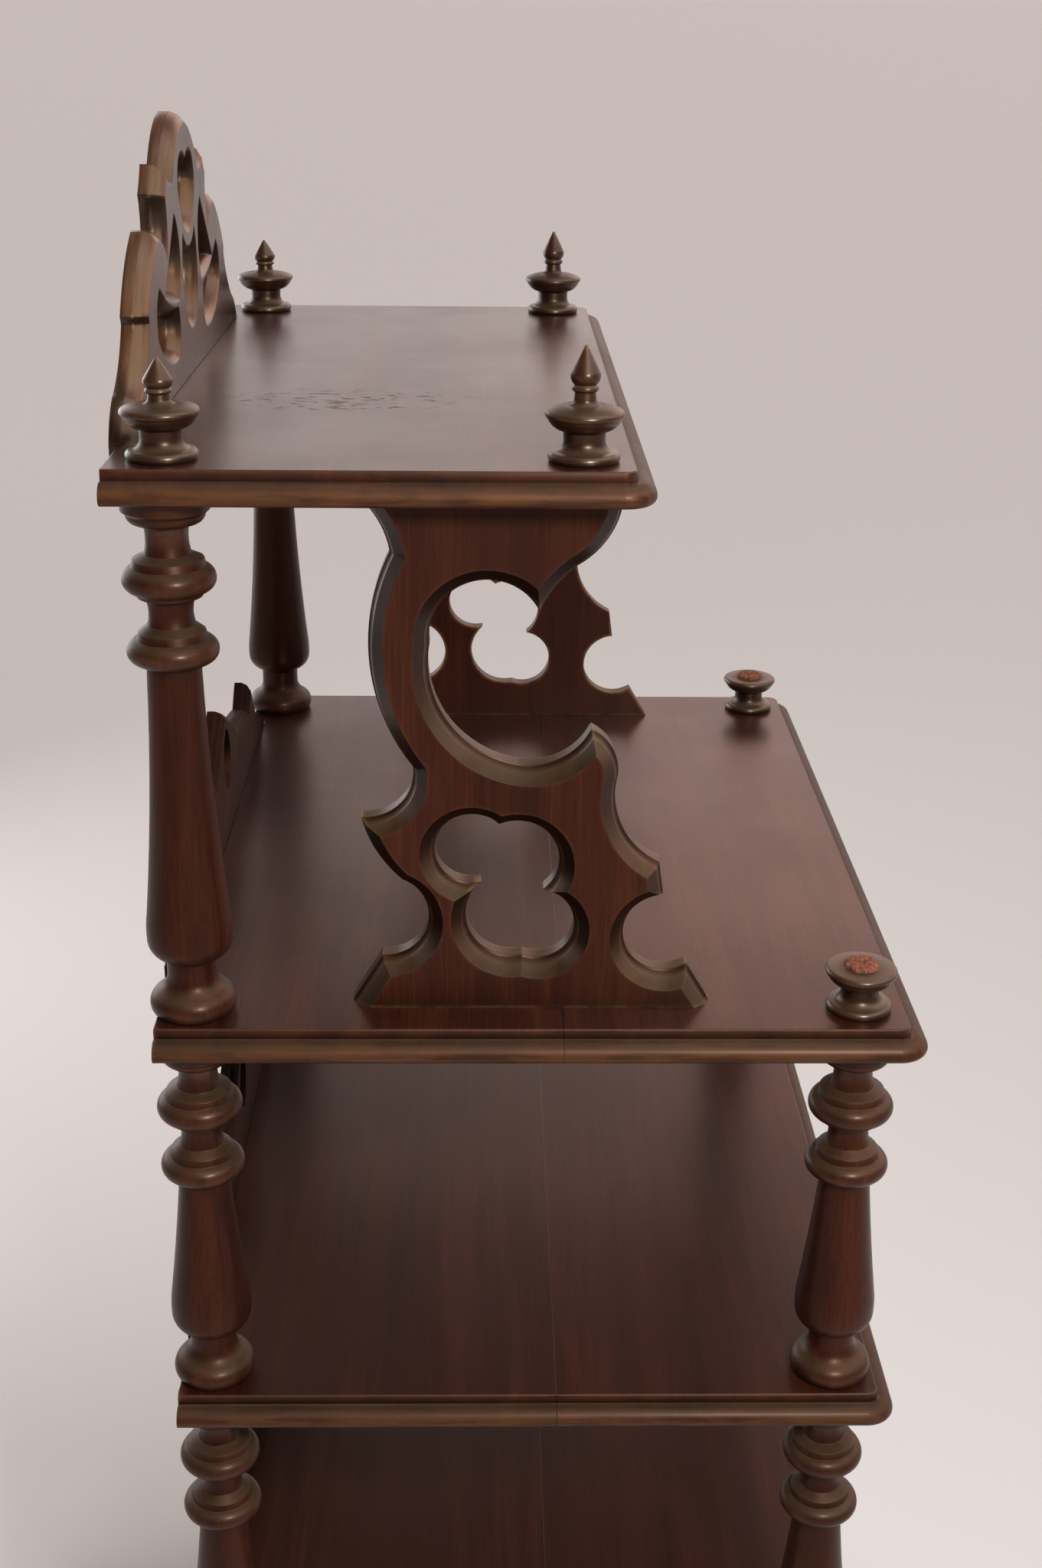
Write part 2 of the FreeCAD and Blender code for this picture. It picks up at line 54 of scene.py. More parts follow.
# %% Camera
post_low, post_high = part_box("tall_back_post_left")
back_post_y = (post_low.y + post_high.y) / 2
camera_place = Vector((-1.2984, back_post_y - 0.1704, 1.4475))
camera_dip, camera_yaw, camera_roll = (math.radians(angle) for angle in (21.763, -1.163, 0.59))
focal_pixels = 2571.1
long_side_pixels = 2048
sensor_mm = 36.0


def camera_turn():
    """The camera's axes as a matrix: right, up and backward."""
    level = math.cos(camera_dip)
    forward = Vector((level * math.cos(camera_yaw), level * math.sin(camera_yaw), -math.sin(camera_dip)))
    right = forward.cross(Vector((0, 0, 1))).normalized()
    up = right.cross(forward)
    tilted_right = math.cos(camera_roll) * right + math.sin(camera_roll) * up
    tilted_up = math.cos(camera_roll) * up - math.sin(camera_roll) * right
    return Matrix((tilted_right, tilted_up, -forward)).transposed()


lens = bpy.data.cameras.new("portrait_lens")
lens.sensor_width = sensor_mm
lens.lens = sensor_mm * focal_pixels / long_side_pixels
camera = bpy.data.objects.new("portrait_camera", lens)
camera.matrix_world = Matrix.Translation(camera_place) @ camera_turn().to_4x4()
bpy.context.scene.collection.objects.link(camera)
bpy.context.scene.camera = camera
print("lens", round(lens.lens, 2), "mm")

# %% [markdown]
# ## A short way to write materials
# A material is a graph of nodes. Written out node by node it becomes hundreds of lines, so this small class
# adds a node, fills in its inputs and joins what is joined in one call. A plain value goes straight into its
# socket.

# %% Material helper


class Finish:
    """One material, with short ways to add nodes and join them."""

    def __init__(self, name):
        self.material = bpy.data.materials.new(name)
        self.material.use_nodes = True
        self.tree = self.material.node_tree
        self.shader = self.tree.nodes["Principled BSDF"]

    def feed(self, socket, value):
        if isinstance(value, bpy.types.NodeSocket):
            self.tree.links.new(value, socket)
        else:
            socket.default_value = value

    def node(self, kind, inputs, **settings):
        made = self.tree.nodes.new(kind)
        for name, value in settings.items():
            setattr(made, name, value)
        for key, value in inputs.items():
            self.feed(made.inputs[key], value)
        return made

    def math(self, operation, first, second=0.0, third=0.0, clamp=False):
        inputs = {0: first, 1: second, 2: third}
        return self.node("ShaderNodeMath", inputs, operation=operation, use_clamp=clamp).outputs[0]

    def times(self, first, second):
        return self.math("MULTIPLY", first, second)

    def larger(self, first, second):
        return self.math("MAXIMUM", first, second)

    def step(self, value, low, high, at_low=0.0, at_high=1.0):
        """A soft step from at_low to at_high as the value goes from low to high."""
        inputs = {"Value": value, "From Min": low, "From Max": high, "To Min": at_low, "To Max": at_high}
        return self.node("ShaderNodeMapRange", inputs, interpolation_type="SMOOTHSTEP").outputs[0]

    def mix(self, share, first, second):
        made = self.node("ShaderNodeMix", {0: share, 6: first, 7: second}, data_type="RGBA")
        return made.outputs[2]

    def ramp(self, value, stops):
        made = self.node("ShaderNodeValToRGB", {"Fac": value})
        points = made.color_ramp.elements
        while len(points) < len(stops):
            points.new(1.0)
        for point, (place, colour) in zip(points, stops):
            point.position = place
            point.color = (*colour, 1.0)
        return made.outputs["Color"]

    def noise(self, vector, detail, rough, distortion=0.0):
        inputs = {"Vector": vector, "Scale": 1.0, "Detail": detail, "Roughness": rough}
        return self.node("ShaderNodeTexNoise", {**inputs, "Distortion": distortion}).outputs[0]

    def vector(self, operation, inputs):
        return self.node("ShaderNodeVectorMath", inputs, operation=operation).outputs[0]

    def stretched(self, vector, scale):
        return self.vector("MULTIPLY", {0: vector, 1: scale})

    def joined(self, inputs):
        return self.node("ShaderNodeCombineXYZ", inputs).outputs[0]

    def split(self, vector):
        return self.node("ShaderNodeSeparateXYZ", {0: vector}).outputs


print("finish helper ready")

# %% [markdown]
# ## Walnut
# Old walnut is not one brown. Broad growth figure, fine fibres and short dark pores all run along the grain,
# and a century of polish leaves cloudy patches. Boards could carry a picture of grain, but it would smear on
# the turnings. Each pattern here is a noise that is stretched along the grain, so it stays right on any cut
# face, as in real timber. Every piece starts at its own place in that timber, by a number that the renderer
# gives each object, so no two posts have the same figure.

# %% Walnut timber
bark_brown = (0.019, 0.0046, 0.0030)
heart_brown = (0.078, 0.0172, 0.0082)
warm_brown = (0.170, 0.0450, 0.0175)
brown_stops = [(0.30, bark_brown), (0.50, heart_brown), (0.72, warm_brown)]
pore_black = (0.008, 0.0035, 0.003, 1.0)
axes = {"x": 0, "y": 1, "z": 2}
piece_shift = (7.1, 3.3, 5.9)
# How often a pattern repeats in a metre, along the grain and across it.
figure_repeats, fibre_repeats, pore_repeats = (2.2, 38.0), (14.0, 620.0), (70.0, 1700.0)
cloud_repeats = (7.0, 7.0, 7.0)
figure_share, fibre_share = 0.62, 0.38
cloud_edge, cloud_shade = (0.42, 0.75), 0.45
pore_edge, pore_shade = (0.60, 0.72), 0.55
fibre_relief, pore_relief = 0.4, 0.6


def along_grain(axis, repeats):
    lengthwise, crosswise = repeats
    scale = [crosswise] * 3
    scale[axes[axis]] = lengthwise
    return tuple(scale)


def own_place(finish):
    """A point's place on the stand, and its place in the timber that its piece was cut from."""
    place = finish.node("ShaderNodeTexCoord", {}).outputs["Object"]
    own = finish.node("ShaderNodeObjectInfo", {}).outputs["Random"]
    return place, finish.vector("MULTIPLY_ADD", {0: own, 1: piece_shift, 2: place})


def timber(finish, axis, stain):
    """Walnut with its grain along an axis; a lower stain is a darker one."""
    place, log = own_place(finish)
    figure = finish.noise(finish.stretched(log, along_grain(axis, figure_repeats)), 4.0, 0.55, 0.9)
    fibre = finish.noise(finish.stretched(log, along_grain(axis, fibre_repeats)), 3.0, 0.65)
    pore = finish.noise(finish.stretched(log, along_grain(axis, pore_repeats)), 1.0, 0.5)
    cloud = finish.noise(finish.stretched(log, cloud_repeats), 3.0, 0.6)
    tone = finish.math("ADD", finish.times(figure, figure_share), finish.times(fibre, fibre_share))
    stops = [(stop, tuple(stain * part for part in brown)) for stop, brown in brown_stops]
    clouds = finish.step(cloud, *cloud_edge, 0.0, cloud_shade)
    colour = finish.mix(clouds, finish.ramp(tone, stops), (*bark_brown, 1.0))
    pores = finish.step(pore, *pore_edge)
    colour = finish.mix(finish.times(pores, pore_shade), colour, pore_black)
    height = finish.math("SUBTRACT", finish.times(fibre, fibre_relief), finish.times(pores, pore_relief))
    return {"place": place, "log": log, "colour": colour, "height": height, "cloud": cloud}


print("walnut runs along", sorted(axes))

# %% [markdown]
# ## Where dust, painted shade and wear lie
# Dust settles on ledges, hands wear the rims, and hollows and undersides are darkened as painted shade, so all
# three follow the shape. They could be painted on, but then every post would need its own painting. The ambient
# occlusion node says how shut in a point is. Turned to look inside the wood, it says how thin the wood is
# there, which finds rims and edges. Told to look straight up, it says what is sheltered.

# %% Masks that follow the shape
hollow_reach, deep_reach = 0.012, 0.035
edge_reach, bulge_reach = 0.003, 0.010
straight_up = (0.0, 0.0, 1.0)
hollow_edge, rim_edge, shelter_edge, ledge_edge = (0.88, 0.40), (0.90, 0.50), (0.52, 0.26), (0.25, 0.9)


def open_share(finish, inputs, **settings):
    return finish.node("ShaderNodeAmbientOcclusion", inputs, **settings).outputs["AO"]


def hollow_mask(finish, reach):
    """1 in hollows, where other wood stands nearer than the reach."""
    return finish.step(open_share(finish, {"Distance": reach}, samples=5), *hollow_edge)


def rim_mask(finish, reach):
    """1 along rims and edges, where the wood is thinner than the reach."""
    return finish.step(open_share(finish, {"Distance": reach}, samples=5, inside=True), *rim_edge)


def sheltered_mask(finish, reach):
    """1 where wood within the reach stands above a point, 0 on a wall with nothing over it; it places painted
    shade.
    """
    inputs = {"Distance": reach, "Normal": straight_up}
    return finish.step(open_share(finish, inputs, samples=6), *shelter_edge)


def ledge_mask(finish):
    """How far a surface looks upward, from 0 on a wall to 1 on a ledge."""
    up = finish.split(finish.node("ShaderNodeNewGeometry", {}).outputs["Normal"])[2]
    return finish.step(up, *ledge_edge)


print("hollows are sought within", hollow_reach * 1000, "or", deep_reach * 1000, "mm")

# %% [markdown]
# ## Polish
# The stand was stained, then polished by hand, and use has rubbed the polish through. Real layers could be made
# as thin shells, but a shader has them already: the wood's colour with wear, painted shade and dust laid over
# it, a roughness that is higher where dust lies, and a thin clear coat. The bevel node gives the light a
# slightly rounded edge to catch. Old polish mirrors the room in its own colour, so the reflection is tinted.

# %% Polish
dust_colour = (0.150, 0.116, 0.066, 1.0)
worn_colour = (0.230, 0.108, 0.040, 1.0)
# Near black: the painted shade of hollows, undersides and cove backs, and the colour of glue lines and pits.
shade_and_mark_black = (0.0055, 0.0028, 0.0022, 1.0)
# Tints of the polish: like bronze, dark red, and near black for painted shade on the reflection under wood.
amber = (1.0, 0.70, 0.46, 1.0)
ruby = (1.0, 0.55, 0.38, 1.0)
sheltered_shade_tint = (0.16, 0.11, 0.08, 1.0)
edge_round = 0.0009
worn_patches, dusty_patches = (0.36, 0.60, 0.15, 1.0), (0.70, 0.35, 0.5, 1.0)
smear_edge, smoother, rougher = (0.3, 0.7), 0.03, 0.05
dust_roughness = 0.25
relief_strength, relief_depth = 0.14, 0.0004
coat_roughness = 0.24


def polished(finish, wood, masks, patches, polish, hollow=None):
    """Lay wear and dust on the timber in patches and painted shade by its mask, then polish it."""
    patchy = finish.noise(patches, 4.0, 0.6)
    wear = finish.times(masks["wear"], finish.step(patchy, *worn_patches))
    dust = finish.times(masks["dust"], finish.step(patchy, *dusty_patches))
    colour = finish.mix(wear, wood["colour"], worn_colour)
    # Painted shade, with a little darkening of a board's whole moulding: the wood goes toward near black by
    # this mask.
    colour = finish.mix(masks["painted_shade_and_grime"], colour, shade_and_mark_black)
    smear = finish.step(wood["cloud"], *smear_edge, polish["rough"] - smoother, polish["rough"] + rougher)
    matt = finish.times(finish.math("ADD", dust, masks["dull"]), dust_roughness)
    soft = finish.node("ShaderNodeBevel", {"Radius": polish["rounding"]}, samples=6).outputs[0]
    if hollow:
        soft = finish.mix(hollow["within"], soft, hollow["normal"])
    relief = {"Strength": relief_strength, "Distance": relief_depth, "Height": wood["height"], "Normal": soft}
    sockets = {
        "Base Color": finish.mix(dust, colour, dust_colour),
        "Roughness": finish.math("ADD", smear, matt, clamp=True),
        "Normal": finish.node("ShaderNodeBump", relief).outputs[0],
        "Coat Weight": polish["coat"],
        "Coat Roughness": coat_roughness,
        "Specular Tint": polish["tint"],
        "Specular IOR Level": polish["shine"],
    }
    for socket, value in sockets.items():
        finish.feed(finish.shader.inputs[socket], value)
    return finish.material


print("edges are softened by", edge_round * 1000, "mm")

# %% [markdown]
# ## Marks on the boards
# Each deep shelf is two boards glued edge to edge, and the joint shows as a thin dark line. The top shelf has a
# patch of small pits, and the second has a pale scuff on its edge. They could be cut into the mesh, but they
# are shallower than a hair, so each is a mask made from the place on the board: a line, or an oval spot.

# %% Marks on the boards
ragged_repeats, fleck_repeats = (60.0, 60.0, 60.0), (190.0, 90.0, 90.0)
fleck_edge, pit_depth = (0.56, 0.62), 12.0
scuff_colour = (0.50, 0.36, 0.13, 1.0)


def dark_line(finish, wood, place_y, half_width, half_length):
    """Darken the wood along a straight line at one y, as long as twice half_length."""
    x, y = finish.split(wood["place"])[:2]
    offset = finish.math("ABSOLUTE", finish.math("SUBTRACT", y, place_y))
    ragged = finish.noise(finish.stretched(wood["place"], ragged_repeats), 2.0, 0.6)
    reach = finish.times(ragged, half_width * 2)
    line = finish.step(finish.math("SUBTRACT", offset, reach), half_width * 0.3, 0.0)
    within = finish.step(finish.math("ABSOLUTE", x), half_length, half_length * 0.98)
    wood["colour"] = finish.mix(finish.times(line, within), wood["colour"], shade_and_mark_black)


def spot(finish, wood, centre, radii):
    """A mask that is 1 at the middle of an oval spot and fades to its rim."""
    offset = finish.vector("SUBTRACT", {0: wood["place"], 1: centre})
    shares = finish.stretched(offset, tuple(1.0 / radius for radius in radii))
    reach = finish.node("ShaderNodeVectorMath", {0: shares}, operation="LENGTH").outputs["Value"]
    return finish.step(reach, 1.0, 0.5)


def pitted_patch(finish, wood, centre, radii):
    """Small dark pits and scratches inside an oval patch, where the polish is gone."""
    flecks = finish.noise(finish.stretched(wood["place"], fleck_repeats), 3.0, 0.7)
    wood["bare"] = finish.times(finish.step(flecks, *fleck_edge), spot(finish, wood, centre, radii))
    wood["colour"] = finish.mix(wood["bare"], wood["colour"], shade_and_mark_black)
    wood["height"] = finish.math("SUBTRACT", wood["height"], finish.times(wood["bare"], pit_depth))


def pale_scuff(finish, wood, centre, radii):
    wood["colour"] = finish.mix(spot(finish, wood, centre, radii), wood["colour"], scuff_colour)


print("marks: glue lines, pits and a scuff")

# %% [markdown]
# ## Shelf boards
# The boards are polished on top, where the coat mirrors the far wall, and worn golden along the moulding,
# where hands take hold. Wear could be painted by hand, but a rule serves every shelf: the distance from the
# edge tells the moulding from the top, and the streaks of wear follow the moulding's run, along the sides or
# the front.

# %% Moulding of a board
moulding_width = 0.0125
corner_blend = 0.001
streak_repeats = (16.0, 150.0, 150.0)


def moulding_places(finish, place, front_edge, half_width):
    """A mask that is 1 on a board's moulding, and places along its run for streaks that follow it."""
    x, y, z = finish.split(place)[:3]
    from_side = finish.math("SUBTRACT", half_width, finish.math("ABSOLUTE", x))
    from_front = finish.math("SUBTRACT", y, front_edge)
    from_edge = finish.math("MINIMUM", from_side, from_front)
    at_front = finish.step(finish.math("SUBTRACT", from_side, from_front), -corner_blend, corner_blend)
    run = finish.math("MULTIPLY_ADD", finish.math("SUBTRACT", x, y), at_front, y)
    streaks = finish.stretched(finish.joined({0: run, 1: from_side, 2: z}), streak_repeats)
    return finish.step(from_edge, moulding_width, moulding_width * 0.8), streaks


print("moulding:", moulding_width * 1000, "mm wide")

# %% Shelf boards
board_stain = 0.33
board_polish = {"rough": 0.38, "shine": 0.30, "tint": ruby, "rounding": edge_round}
ledge_dust, hollow_dust = 0.14, 0.4
moulding_hollow_shade, moulding_grime = 0.85, 0.2
rim_wear, nose_wear, nose_edge = 0.55, 0.24, (0.62, 0.42)
moulding_dull = 0.2
top_coat, moulding_coat, bare_coat = 0.50, 0.04, 0.05
joint_edge = (0.002, 0.007)


def board_finish(name, front_edge, half_width, joint, add_marks):
    """A polished board with a worn moulding on three sides; the joint is the y of its glue line."""
    finish = Finish(name)
    wood = timber(finish, "x", board_stain)
    add_marks(finish, wood)
    moulding, streaks = moulding_places(finish, wood["place"], front_edge, half_width)
    hollows = finish.times(hollow_mask(finish, hollow_reach), moulding)
    ledge = finish.times(ledge_mask(finish), moulding)
    from_joint = finish.math("ABSOLUTE", finish.math("SUBTRACT", finish.split(wood["place"])[1], joint))
    rims = finish.times(rim_mask(finish, edge_reach), moulding)
    rims = finish.times(rims, finish.step(from_joint, *joint_edge))
    rise = finish.split(finish.node("ShaderNodeTexCoord", {}).outputs["Generated"])[2]
    nose = finish.times(finish.step(rise, *nose_edge), finish.times(moulding, nose_wear))
    # Hollows of the moulding that are no ledge are darkened as painted shade; the whole moulding a little too.
    shut_in = finish.math("SUBTRACT", hollows, ledge, clamp=True)
    masks = {
        "dust": finish.times(ledge, finish.math("MULTIPLY_ADD", hollows, hollow_dust, ledge_dust)),
        "painted_shade_and_grime": finish.larger(finish.times(shut_in, moulding_hollow_shade), finish.times(moulding, moulding_grime)),
        "wear": finish.larger(finish.times(rims, rim_wear), nose),
        "dull": finish.times(moulding, moulding_dull),
    }
    coat = finish.step(moulding, 0.0, 1.0, top_coat, moulding_coat)
    if "bare" in wood:
        coat = finish.times(coat, finish.step(wood["bare"], 0.0, 1.0, 1.0, bare_coat))
    return polished(finish, wood, masks, streaks, {**board_polish, "coat": coat})


print("board shares set, stain", board_stain)

# %% Boards with their marks
top_low, top_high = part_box("top_shelf")
deep_low, deep_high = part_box("shelf_2_front_board")
crest_low, crest_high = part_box("crest")
seam_ahead, seam_half_width = 0.0015, 0.0016
glue_half_width = 0.0004
pit_centre, pit_radii = (-0.102, back_post_y - 0.085, top_high.z), (0.045, 0.1, 0.01)
scuff_centre, scuff_radii = (-0.2935, back_post_y - 0.3706, deep_high.z - 0.009), (0.004, 0.004, 0.002)


def top_marks(finish, wood):
    dark_line(finish, wood, crest_low.y - seam_ahead, seam_half_width, crest_high.x)
    pitted_patch(finish, wood, pit_centre, pit_radii)


def deep_marks(finish, wood):
    past_the_end = deep_high.x * 1.1
    dark_line(finish, wood, deep_high.y, glue_half_width, past_the_end)
    pale_scuff(finish, wood, scuff_centre, scuff_radii)


top_board = board_finish("top_board_walnut", top_low.y, top_high.x, top_high.y, top_marks)
deep_board = board_finish("deep_board_walnut", deep_low.y, deep_high.x, deep_high.y, deep_marks)
print("board finishes made, fronts at", round(top_low.y, 4), round(deep_low.y, 4))

# %% [markdown]
# ## Turned pieces
# Posts and feet were turned with their grain upright. Their rings are rubbed where they bulge and dusty on
# their ledges. The finials and the broken caps have a darker stain that shines like bronze. Two materials could
# be written out, but one recipe with other shares keeps them alike where the real ones are alike.

# %% Turned pieces
even = (55.0, 55.0, 55.0)
ring_dust, ring_hollow_shade, edge_wear = 0.5, 0.85, 0.40
bulge_coat, least_coat = 0.4, 0.02


def turned_finish(name, stain, worn, dusty, polish):
    """Turned wood, worn on its bulges and edges and dusty on its ledges by the given shares."""
    finish = Finish(name)
    wood = timber(finish, "z", stain)
    hollows, ledge = hollow_mask(finish, hollow_reach), ledge_mask(finish)
    bulges, edges = rim_mask(finish, bulge_reach), rim_mask(finish, edge_reach)
    masks = {
        "dust": finish.times(ledge, finish.math("MULTIPLY_ADD", hollows, ring_dust, dusty)),
        # Hollows that are no ledge, under rims and in grooves, are darkened as painted shade.
        "painted_shade_and_grime": finish.times(finish.math("SUBTRACT", hollows, ledge, clamp=True), ring_hollow_shade),
        "wear": finish.larger(finish.times(bulges, worn), finish.times(edges, edge_wear)),
        "dull": 0.0,
    }
    coat = finish.math("MULTIPLY_ADD", bulges, bulge_coat, least_coat)
    return polished(finish, wood, masks, finish.stretched(wood["log"], even), {**polish, "coat": coat})


post_polish = {"rough": 0.38, "shine": 0.24, "tint": ruby, "rounding": edge_round}
finial_polish = {"rough": 0.34, "shine": 0.45, "tint": amber, "rounding": edge_round}
turned_walnut = turned_finish("turned_walnut", stain=0.32, worn=0.22, dusty=0.22, polish=post_polish)
finial_walnut = turned_finish("finial_walnut", stain=0.22, worn=0.05, dusty=0.16, polish=finial_polish)
print("turned finishes made")

# %% [markdown]
# ## Hollow coves
# The brackets, the crest and the galleries are sawn boards with a hollow cut round their edges. The solids have
# two narrow strips there. A true hollow would need many more faces, so the material turns the normal instead,
# by how deep a point lies below the face: into the opening next to the face, and outward at the cove's back.

# %% Hollow coves
off_face_edge = (0.97, 0.80)
cove_end = 0.96
cove_back = (0.35, 0.95)


def below_face(finish, wood, fret):
    """How deep a point lies below the coved face, and which way that face looks along its axis."""
    place = finish.split(wood["place"])[axes[fret["axis"]]]
    side = finish.math("SIGN", place) if fret["two_sided"] else -1.0
    return finish.math("SUBTRACT", fret["face"], finish.times(place, side)), side


def hollow_cove(finish, wood, fret):
    """The normal of a hollow cove, with masks for the cove, its back and every edge of the board."""
    axis = axes[fret["axis"]]
    normal = finish.node("ShaderNodeNewGeometry", {}).outputs["Normal"]
    below, side = below_face(finish, wood, fret)
    share = finish.math("DIVIDE", below, fret["cove_depth"], clamp=True)
    inset = finish.math("SQRT", finish.math("SUBTRACT", 1.0, finish.times(share, share)))
    keep = tuple(0.0 if way == axis else 1.0 for way in range(3))
    inward = finish.vector("NORMALIZE", {0: finish.stretched(normal, keep)})
    inward = finish.vector("SCALE", {0: inward, "Scale": finish.math("DIVIDE", inset, fret["cove_width"])})
    outward = finish.joined({axis: finish.times(finish.math("DIVIDE", share, fret["cove_depth"]), side)})
    hollow = finish.vector("NORMALIZE", {0: finish.vector("ADD", {0: inward, 1: outward})})
    edge = finish.step(finish.math("ABSOLUTE", finish.split(normal)[axis]), *off_face_edge)
    cove_stop = fret["cove_depth"] * cove_end
    within = finish.times(edge, finish.step(below, fret["cove_depth"], cove_stop, 0.0, fret["cove_share"]))
    up = finish.split(finish.mix(within, normal, hollow))[2]
    back = finish.times(within, finish.step(share, *cove_back))
    return {"normal": hollow, "within": within, "edge": edge, "up": up, "back": back}


print("coves end at", cove_end, "of their depth")

# %% [markdown]
# ## Fretwork
# Dust lies on the front of an upward cove. Its back, the parts that look down, its hollows and an edge with
# other wood above it are darkened as painted shade, and that edge loses its shine, a painted shade on the
# reflection.
# The brackets are handled most and have golden rims, the crest shines like bronze, and the galleries stand in
# the shade of the shelves above. Each is a list of shares for the same recipe.

# %% Fretwork recipe
settle_edge = (0.0, 0.8)
cove_back_shade, shelter_shade, fret_hollow_shade = 0.75, 0.9, 0.8
fret_coat = 0.04


def fret_finish(name, fret):
    """Fretwork, dusty on upward coves and golden on its edges by the given shares, with painted shade below."""
    finish = Finish(name)
    wood = timber(finish, fret["grain"], fret["stain"])
    hollow = hollow_cove(finish, wood, fret)
    settled = finish.times(hollow["edge"], finish.step(hollow["up"], *settle_edge))
    sheltered = finish.times(hollow["edge"], sheltered_mask(finish, fret["shelter_reach"]))
    # Painted shade: the coves go black where they look down, at their backs, under other wood and in hollows.
    fret_painted_shade = finish.times(hollow["edge"], finish.step(hollow["up"], *fret["fret_painted_shade"]))
    fret_painted_shade = finish.larger(fret_painted_shade, finish.times(hollow["back"], cove_back_shade))
    fret_painted_shade = finish.larger(fret_painted_shade, finish.times(sheltered, shelter_shade))
    rims = finish.times(rim_mask(finish, edge_reach), fret["rims"])
    in_front = finish.math("SUBTRACT", settled, hollow["back"], clamp=True)
    masks = {
        "dust": finish.times(in_front, fret["dusty"]),
        "painted_shade_and_grime": finish.larger(fret_painted_shade, finish.times(hollow_mask(finish, fret["hollow_shade_reach"]), fret_hollow_shade)),
        "wear": finish.larger(finish.times(hollow["edge"], fret["golden"]), rims),
        "dull": 0.0,
    }
    polish = {key: fret[key] for key in ("rough", "shine", "rounding")}
    # Under other wood the reflection is tinted near black, a painted shade.
    polish.update(tint=finish.mix(sheltered, fret["tint"], sheltered_shade_tint), coat=fret_coat)
    return polished(finish, wood, masks, finish.stretched(wood["log"], fret["patches"]), polish, hollow)


print("fretwork recipe ready")

# %% Brackets, crest and galleries
streaky = (18.0, 300.0, 18.0)
bracket_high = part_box("side_bracket_right")[1]
gallery_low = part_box("shelf_2_gallery")[0]
bracket_fret = {
    "axis": "x", "grain": "z", "two_sided": True, "face": bracket_high.x,
    "cove_width": 0.0085, "cove_depth": 0.012, "cove_share": 1.0,
    "stain": 0.33, "dusty": 0.32, "golden": 0.06, "rims": 0.8, "fret_painted_shade": (0.5, -0.2, 0.0, 0.6),
    "patches": even, "hollow_shade_reach": hollow_reach, "shelter_reach": deep_reach,
    "rough": 0.36, "shine": 0.28, "tint": ruby, "rounding": 0.0012,
}
crest_fret = {
    "axis": "y", "grain": "x", "two_sided": False, "face": -crest_low.y,
    "cove_width": 0.006, "cove_depth": 0.008, "cove_share": 0.3,
    "stain": 0.36, "dusty": 0.04, "golden": 0.26, "rims": 0.35, "fret_painted_shade": (0.28, -0.08, 0.0, 0.95),
    "patches": streaky, "hollow_shade_reach": deep_reach, "shelter_reach": 0.15,
    "rough": 0.27, "shine": 0.75, "tint": amber, "rounding": 0.005,
}
gallery_fret = {
    "axis": "y", "grain": "x", "two_sided": False, "face": -gallery_low.y,
    "cove_width": 0.005, "cove_depth": 0.007, "cove_share": 0.7,
    "stain": 0.32, "dusty": 0.04, "golden": 0.0, "rims": 0.03, "fret_painted_shade": (0.2, -0.2, 0.0, 0.9),
    "patches": even, "hollow_shade_reach": deep_reach, "shelter_reach": deep_reach,
    "rough": 0.46, "shine": 0.12, "tint": ruby, "rounding": 0.0015,
}
bracket_walnut = fret_finish("bracket_walnut", bracket_fret)
crest_walnut = fret_finish("crest_walnut", crest_fret)
gallery_walnut = fret_finish("gallery_walnut", gallery_fret)
print("fretwork finishes made")

# %% [markdown]
# ## Each piece gets its finish
# Finishes could be handed out piece by piece, but the names already say what the pieces are. A few rules on the
# names are shorter, and a post or shelf that is added later gets the right wood by its name.

# %% Give each piece its finish


def finish_for(name):
    if name == "top_shelf":
        return top_board
    if name.endswith("_board"):
        return deep_board
    if name.startswith("side_bracket"):
        return bracket_walnut
    if name == "crest":
        return crest_walnut
    if name.endswith("_gallery"):
        return gallery_walnut
    if name.startswith(("finial", "broken_cap")):
        return finial_walnut
    return turned_walnut


for name, piece in nodes.items():
    piece.data.materials.clear()
    piece.data.materials.append(finish_for(name))
print({name: finish_for(name).name for name in ("top_shelf", "crest", "side_bracket_left", "foot_front_left")})

# %% [markdown]
# ## Torn wood
# Two spires have broken off and left red, torn fibres on their caps. A bumpy material could hint at them, but
# the break shows from the side too, so it is a mesh: a fan of rings whose heights jump about, with a few thin
# splinters that stand up out of it. It is bare wood, so it has no polish.

# %% Torn finish and splinters
random_turns = random.Random(4)
torn_dark, torn_red, torn_pale = (0.05, 0.013, 0.007), (0.17, 0.046, 0.018), (0.30, 0.105, 0.04)
torn_repeats, torn_roughness = (420.0, 420.0, 120.0), 0.85
splinter_radius, splinter_lean = 0.0007, 0.001


def torn_finish():
    finish = Finish("torn_walnut")
    log = own_place(finish)[1]
    patchy = finish.noise(finish.stretched(log, torn_repeats), 3.0, 0.7)
    colour = finish.ramp(patchy, [(0.34, torn_dark), (0.52, torn_red), (0.75, torn_pale)])
    finish.feed(finish.shader.inputs["Base Color"], colour)
    finish.shader.inputs["Roughness"].default_value = torn_roughness
    return finish.material


def splinter(points, faces, x, y, foot, tall):
    """A thin three-sided spike that leans a little."""
    start = len(points)
    for corner in range(3):
        turn = 2 * math.pi * corner / 3 + random_turns.random()
        points.append((x + splinter_radius * math.cos(turn), y + splinter_radius * math.sin(turn), foot))
    tip_x = x + random_turns.uniform(-splinter_lean, splinter_lean)
    tip_y = y + random_turns.uniform(-splinter_lean, splinter_lean)
    points.append((tip_x, tip_y, foot + tall))
    faces += [(start, start + 1, start + 3), (start + 1, start + 2, start + 3), (start + 2, start, start + 3)]


torn_walnut = torn_finish()
print("torn finish:", torn_walnut.name)

